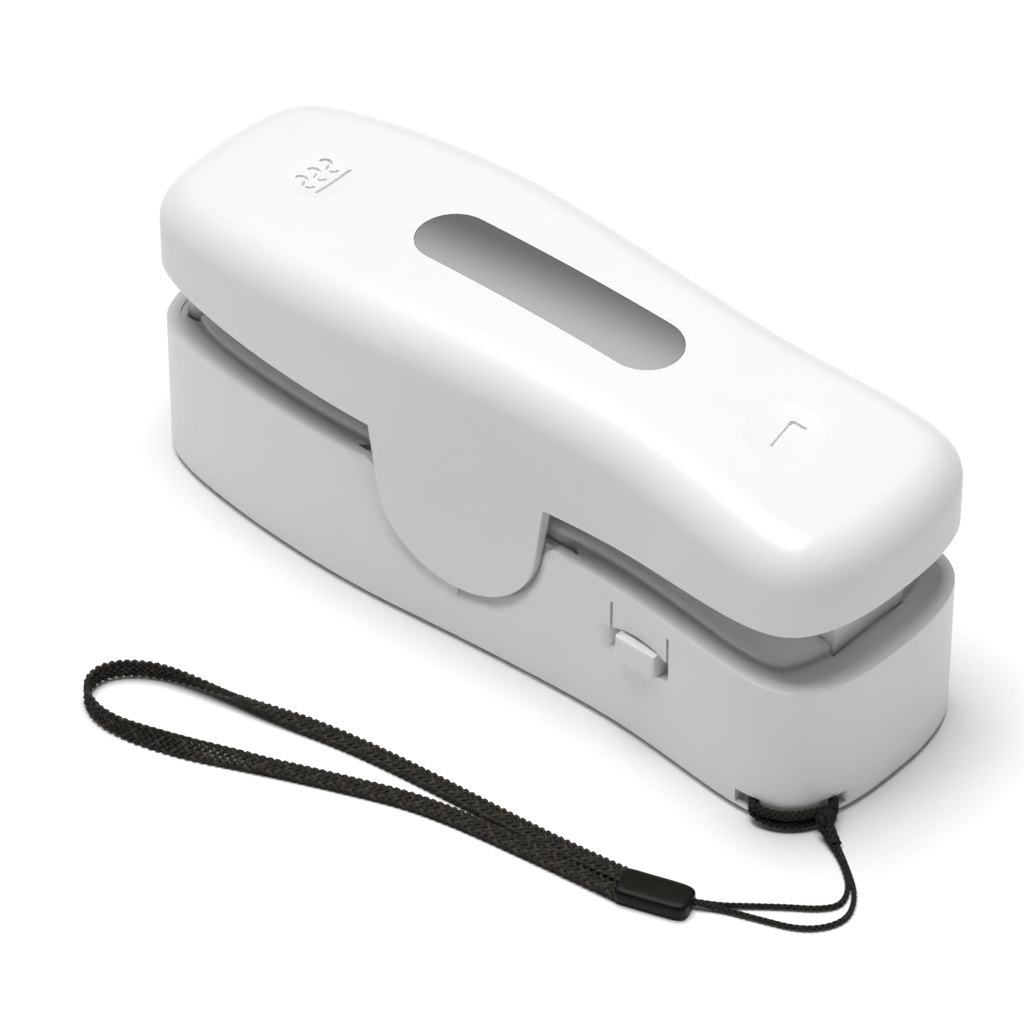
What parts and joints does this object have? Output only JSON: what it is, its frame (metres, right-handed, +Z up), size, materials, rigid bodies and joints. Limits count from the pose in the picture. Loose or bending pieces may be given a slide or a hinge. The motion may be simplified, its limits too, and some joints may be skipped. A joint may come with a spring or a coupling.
{
  "type": "handheld bag sealer",
  "caption": "Small white handheld heat sealer and cutter for food bags: a rocking lever over a waisted housing, with a wrist lanyard at one corner.",
  "frame": {"origin": "on the surface the housing stands on, under the middle of the housing", "axes": "+X towards the cutter end, -X towards the seal end, -Y the side of the push button, +Z up"},
  "size_m": [0.1312, 0.0808, 0.0484],
  "materials": {
    "white_shell": "satin gloss moulded ABS",
    "white_inner": "fine texture moulded ABS",
    "grey_label": "satin grey painted plate",
    "silicone": "matt silicone rubber",
    "heater_resin": "matt heat-proof resin",
    "steel": "drawn spring steel",
    "zinc_steel": "zinc plated steel",
    "heating_alloy": "nickel chrome ribbon",
    "glass_cloth": "coated glass cloth",
    "cell_jacket": "printed film jacket",
    "nickel_plate": "nickel plated spring strip",
    "black_plastic": "matt black resin",
    "plunger_plastic": "smooth acetal",
    "board_green": "solder mask on glass board",
    "red_wire": "insulated wire",
    "black_wire": "insulated wire",
    "black_cord": "braided nylon cord",
    "black_strap": "woven nylon strap, black with grey brown threads",
    "ferrule_plastic": "satin dark brown plastic"
  },
  "bodies": {
    "base": {"body_shell": "white_shell", "deck_plate": "white_inner", "deck_screws": "zinc_steel", "pivot_pin": "steel", "battery_cell_left": "cell_jacket", "battery_cell_right": "cell_jacket", "contact_bridge": "nickel_plate", "contact_plus": "nickel_plate", "contact_minus": "nickel_plate", "heater_head": "heater_resin", "heating_strip": "heating_alloy", "strip_cover": "glass_cloth", "cutter_insert": "white_inner", "micro_switch": "black_plastic", "button_switch": "black_plastic", "circuit_board": "board_green", "board_parts": "black_plastic", "board_screws": "zinc_steel", "supply_wire_left": "red_wire", "supply_wire_right": "black_wire", "return_spring_seal": "steel", "return_spring_cutter": "steel", "lanyard_hitch": "black_cord", "lanyard_string_outer": "black_cord", "lanyard_string_inner": "black_cord", "lanyard_ferrule": "ferrule_plastic", "lanyard_strap": "black_strap"},
    "lever": {"lever_cover": "white_shell", "lever_liner": "white_inner", "label_plate": "grey_label", "lever_screws": "zinc_steel", "pad_holder": "white_inner", "silicone_pad": "silicone", "blade_holder": "white_inner", "cutter_blade": "steel"},
    "battery_door": {"battery_door": "white_shell"},
    "push_button": {"push_button": "white_shell"},
    "switch_plunger": {"switch_plunger": "plunger_plastic"}
  },
  "joints": [
    {"name": "lever_rock", "type": "hinge", "parent": "base", "child": "lever", "pos_m": [0, 0, 0.02], "axis": [0, 1, 0], "range_deg": [-5, 5], "stiffness_Nm_per_rad": 0.8, "deforming": ["return_spring_seal", "return_spring_cutter"]},
    {"name": "button_push", "type": "slide", "parent": "base", "child": "push_button", "axis": [0, 1, 0], "range_m": [0, 0.001], "stiffness_N_per_m": 800},
    {"name": "plunger_press", "type": "slide", "parent": "base", "child": "switch_plunger", "axis": [0, 0, -1], "range_m": [0, 0.0006], "stiffness_N_per_m": 1500},
    {"name": "door_slide", "type": "slide", "parent": "base", "child": "battery_door", "axis": [-1, 0, 0], "range_m": [0, 0.007]}
  ]
}
